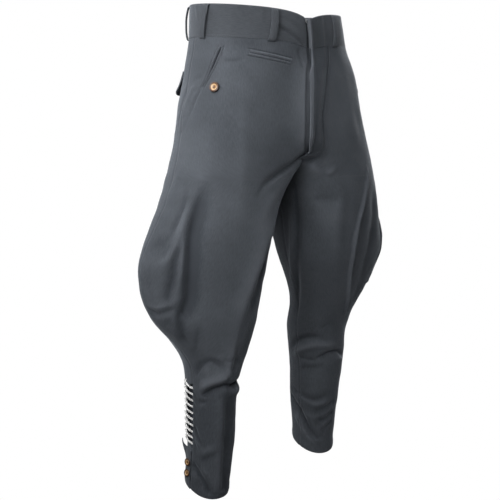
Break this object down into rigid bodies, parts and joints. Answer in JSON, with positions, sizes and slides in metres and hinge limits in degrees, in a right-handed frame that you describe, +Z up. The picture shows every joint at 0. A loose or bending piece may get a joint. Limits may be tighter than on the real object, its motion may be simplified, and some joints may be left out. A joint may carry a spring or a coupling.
{
  "type": "jodhpurs",
  "caption": "Wool riding breeches in their worn shape, with wide thigh wings, a buttoned side pocket on each hip, a fly, belt loops, and calves that lace above a buttoned cuff.",
  "frame": {"origin": "centre of the waist at belt height, in the middle of the waistband, where the wearer's waist holds the garment up", "axes": "+Z up the body, the wearer faces -Y, and +X is the wearer's left"},
  "size_m": [0.6359, 0.2462, 0.894],
  "materials": {
    "wool_twill": "smooth grey wool twill, matt with a faint sheen on raised edges",
    "pocket_cloth": "the same wool, in shadow behind the slits",
    "horn_button": "polished tan and brown horn-effect button",
    "white_lace": "white braided cotton lace",
    "hook_steel": "dark nickelled wire"
  },
  "bodies": {
    "root": {"front_right": "wool_twill", "back_right": "wool_twill", "waistband_right": "wool_twill", "belt_loop_front_right": "wool_twill", "belt_loop_side_right": "wool_twill", "belt_loop_back_right": "wool_twill", "pocket_facing_right": "pocket_cloth", "pocket_button_right": "horn_button", "calf_underlay_right": "pocket_cloth", "calf_placket_right": "wool_twill", "calf_button_1_right": "horn_button", "calf_button_2_right": "horn_button", "lace_right": "white_lace", "front_left": "wool_twill", "back_left": "wool_twill", "waistband_left": "wool_twill", "belt_loop_front_left": "wool_twill", "belt_loop_side_left": "wool_twill", "belt_loop_back_left": "wool_twill", "pocket_facing_left": "pocket_cloth", "pocket_button_left": "horn_button", "calf_underlay_left": "pocket_cloth", "calf_placket_left": "wool_twill", "calf_button_1_left": "horn_button", "calf_button_2_left": "horn_button", "lace_left": "white_lace", "watch_jet_upper": "wool_twill", "watch_jet_lower": "wool_twill", "hip_flap": "wool_twill", "waist_hook": "hook_steel", "waist_bar": "hook_steel"}
  },
  "joints": []
}
